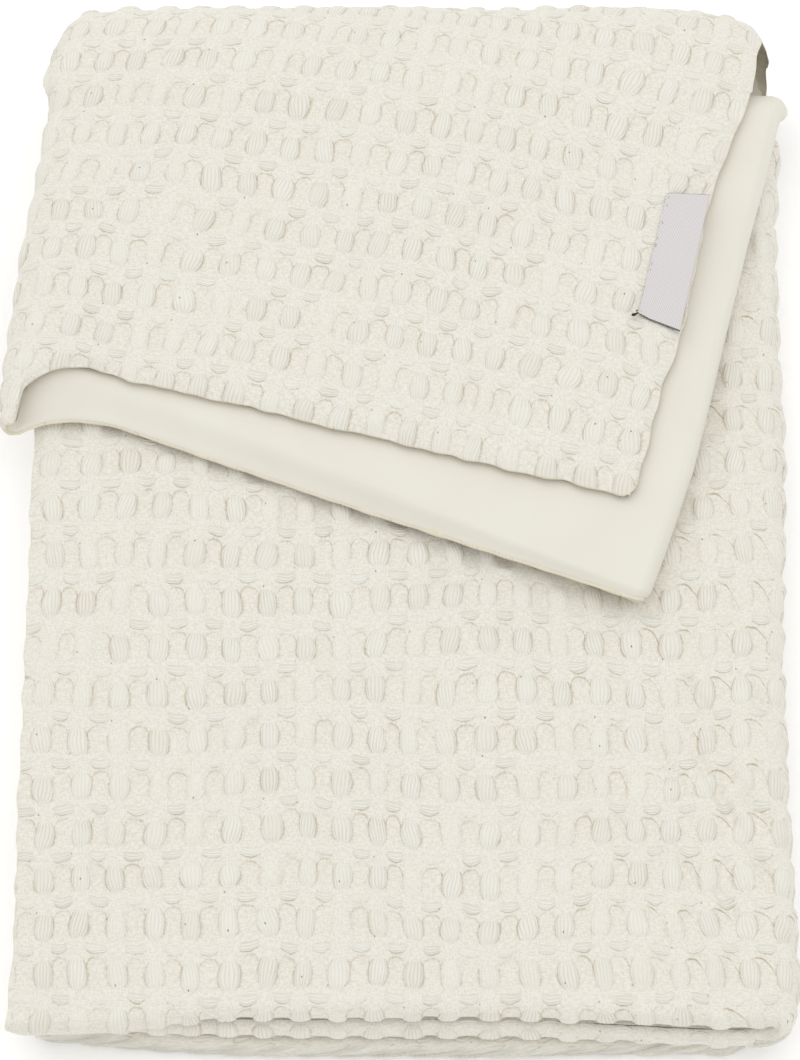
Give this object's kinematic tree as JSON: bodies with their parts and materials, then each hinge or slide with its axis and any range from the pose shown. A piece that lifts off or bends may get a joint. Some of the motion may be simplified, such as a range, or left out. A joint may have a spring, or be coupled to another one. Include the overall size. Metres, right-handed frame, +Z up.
{
  "type": "folded waffle weave cotton blanket",
  "caption": "Folded baby blanket with a waffle weave cotton face and a plain lining, its far end turned over askew, with a bare woven label on one hem.",
  "frame": {"origin": "centre of the folded blanket's underside, on the surface that it lies on", "axes": "+Z up, +Y from the near folds towards the turned-over far edge, +X towards the flap's labelled hem"},
  "size_m": [0.2654, 0.3944, 0.0427],
  "materials": {
    "waffle_cotton": "undyed waffle weave cotton, matt",
    "lining_cotton": "undyed plain cotton, smooth and matt",
    "label_satin": "pale grey woven label, slight sheen"
  },
  "bodies": {
    "root": {"waffle_cloth": "waffle_cotton", "lining": "lining_cotton", "label": "label_satin"}
  },
  "joints": []
}
